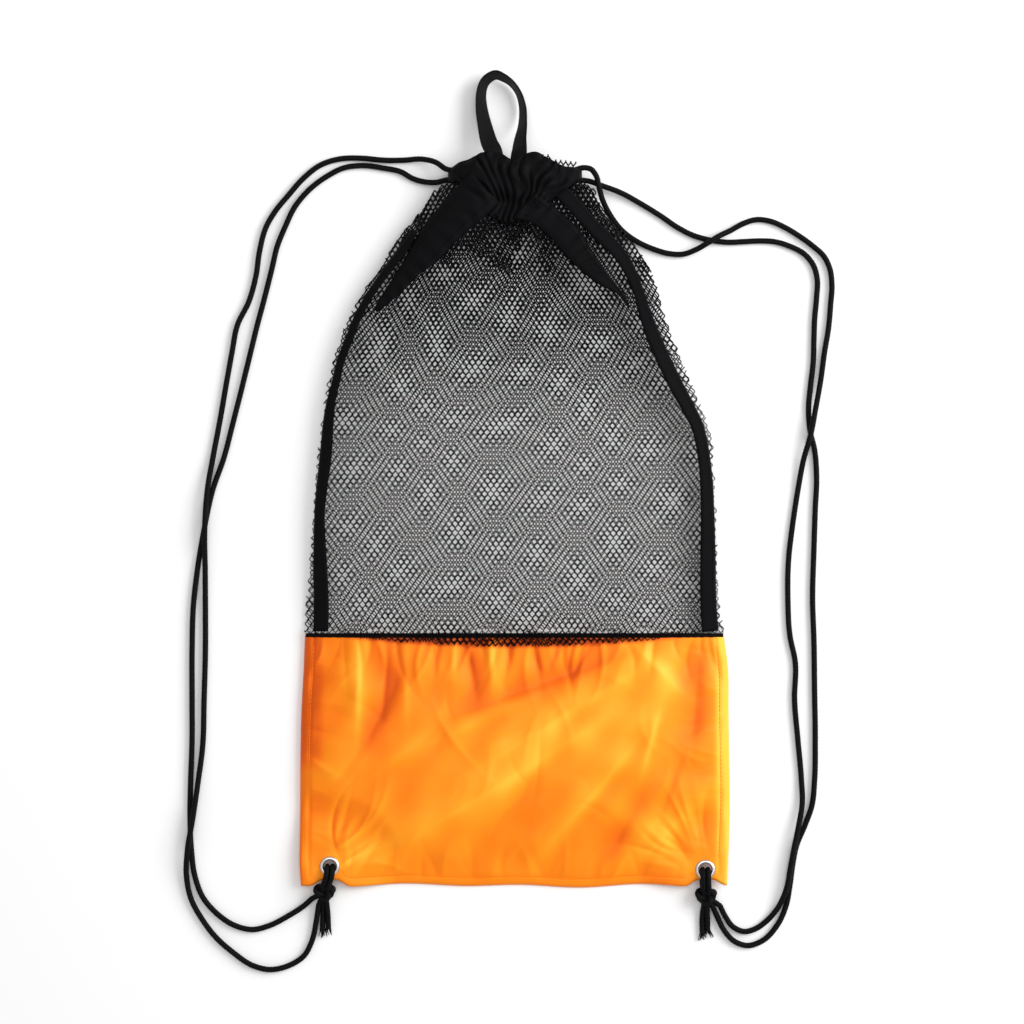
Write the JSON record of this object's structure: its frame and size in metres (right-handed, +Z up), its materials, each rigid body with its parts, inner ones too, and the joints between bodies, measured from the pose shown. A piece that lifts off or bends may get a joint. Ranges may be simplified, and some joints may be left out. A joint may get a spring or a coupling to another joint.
{
  "type": "mesh dive gear bag",
  "caption": "Flat-lying drawstring dive bag with an orange cloth pouch, a black net upper, a gathered neck with a ribbon loop, and cords knotted at two metal eyelets.",
  "frame": {"origin": "middle of the bag's underside, on the surface that it lies on, without its drawstring", "axes": "+Y up the bag from the pouch to the neck, +X to the right across it, +Z up from the surface"},
  "size_m": [0.4874, 0.6745, 0.0306],
  "materials": {
    "orange_cloth": "smooth coated nylon, slightly glossy",
    "black_net": "matt knitted net",
    "black_binding": "matt woven tape",
    "black_ribbon": "matt ribbed ribbon",
    "black_cord": "matt braid",
    "eyelet_metal": "bright nickel plate"
  },
  "bodies": {
    "root": {"base_pouch": "orange_cloth", "base_seam": "black_binding", "mesh_body": "black_net", "side_tape_left": "black_binding", "side_tape_right": "black_binding", "channel_wing_left": "black_binding", "channel_wing_right": "black_binding", "hem_channel": "black_binding", "grab_loop": "black_ribbon", "grommet_left": "eyelet_metal", "grommet_right": "eyelet_metal", "cord_left_outer": "black_cord", "cord_left_inner": "black_cord", "cord_right_inner": "black_cord", "cord_right_outer": "black_cord", "knot_left": "black_cord", "knot_right": "black_cord"}
  },
  "joints": []
}
